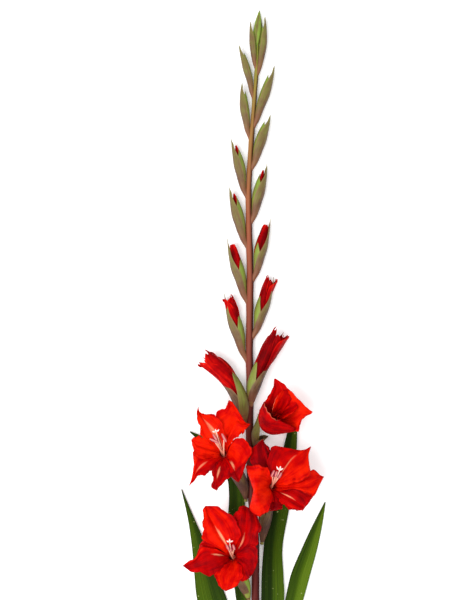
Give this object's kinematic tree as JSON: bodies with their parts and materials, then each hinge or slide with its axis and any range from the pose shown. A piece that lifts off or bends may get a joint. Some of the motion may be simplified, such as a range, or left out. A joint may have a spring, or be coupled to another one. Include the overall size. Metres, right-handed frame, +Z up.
{
  "type": "gladiolus flower spike",
  "caption": "Cut gladiolus flower spike lying on its back: red open florets, opening and closed buds in olive bracts up the stem, and long sword leaves round its base.",
  "frame": {"origin": "middle of the footprint on the surface that the spike lies on", "axes": "+Y along the stem from the cut to the end bud, +Z up out of the surface, the way the open florets face, +X to the right seen from above"},
  "size_m": [0.174, 0.887, 0.0655],
  "materials": {
    "stem_skin": "satin",
    "leaf_green": "satin",
    "tepal_red": "matte",
    "bud_red": "matte",
    "bract_olive": "matte",
    "stamen_pink": "matte"
  },
  "bodies": {
    "root": {"stem": "stem_skin", "leaf_left": "leaf_green", "leaf_centre_left": "leaf_green", "leaf_centre_right": "leaf_green", "leaf_right": "leaf_green", "floret_1_dorsal_tepal": "tepal_red", "floret_1_upper_right_tepal": "tepal_red", "floret_1_lower_right_tepal": "tepal_red", "floret_1_lower_middle_tepal": "tepal_red", "floret_1_lower_left_tepal": "tepal_red", "floret_1_upper_left_tepal": "tepal_red", "floret_1_tube": "tepal_red", "floret_1_stamens_and_style": "stamen_pink", "floret_1_outer_bract": "bract_olive", "floret_1_inner_bract": "bract_olive", "floret_2_dorsal_tepal": "tepal_red", "floret_2_upper_right_tepal": "tepal_red", "floret_2_lower_right_tepal": "tepal_red", "floret_2_lower_middle_tepal": "tepal_red", "floret_2_lower_left_tepal": "tepal_red", "floret_2_upper_left_tepal": "tepal_red", "floret_2_tube": "tepal_red", "floret_2_stamens_and_style": "stamen_pink", "floret_2_outer_bract": "bract_olive", "floret_2_inner_bract": "bract_olive", "floret_3_dorsal_tepal": "tepal_red", "floret_3_upper_right_tepal": "tepal_red", "floret_3_lower_right_tepal": "tepal_red", "floret_3_lower_middle_tepal": "tepal_red", "floret_3_lower_left_tepal": "tepal_red", "floret_3_upper_left_tepal": "tepal_red", "floret_3_tube": "tepal_red", "floret_3_stamens_and_style": "stamen_pink", "floret_3_outer_bract": "bract_olive", "floret_3_inner_bract": "bract_olive", "floret_4_upper_tepal": "bud_red", "floret_4_right_tepal": "bud_red", "floret_4_left_tepal": "bud_red", "floret_4_heart": "bud_red", "floret_4_outer_bract": "bract_olive", "floret_4_inner_bract": "bract_olive", "bud_5_corolla": "bud_red", "bud_5_outer_bract": "bract_olive", "bud_5_inner_bract": "bract_olive", "bud_6_corolla": "bud_red", "bud_6_outer_bract": "bract_olive", "bud_6_inner_bract": "bract_olive", "bud_7": "bract_olive", "bud_8": "bract_olive", "bud_9": "bract_olive", "bud_10": "bract_olive", "bud_11": "bract_olive", "bud_12": "bract_olive", "bud_13": "bract_olive", "bud_14": "bract_olive", "bud_15": "bract_olive", "bud_16": "bract_olive", "bud_17": "bract_olive", "bud_18": "bract_olive", "bud_19": "bract_olive"}
  },
  "joints": []
}
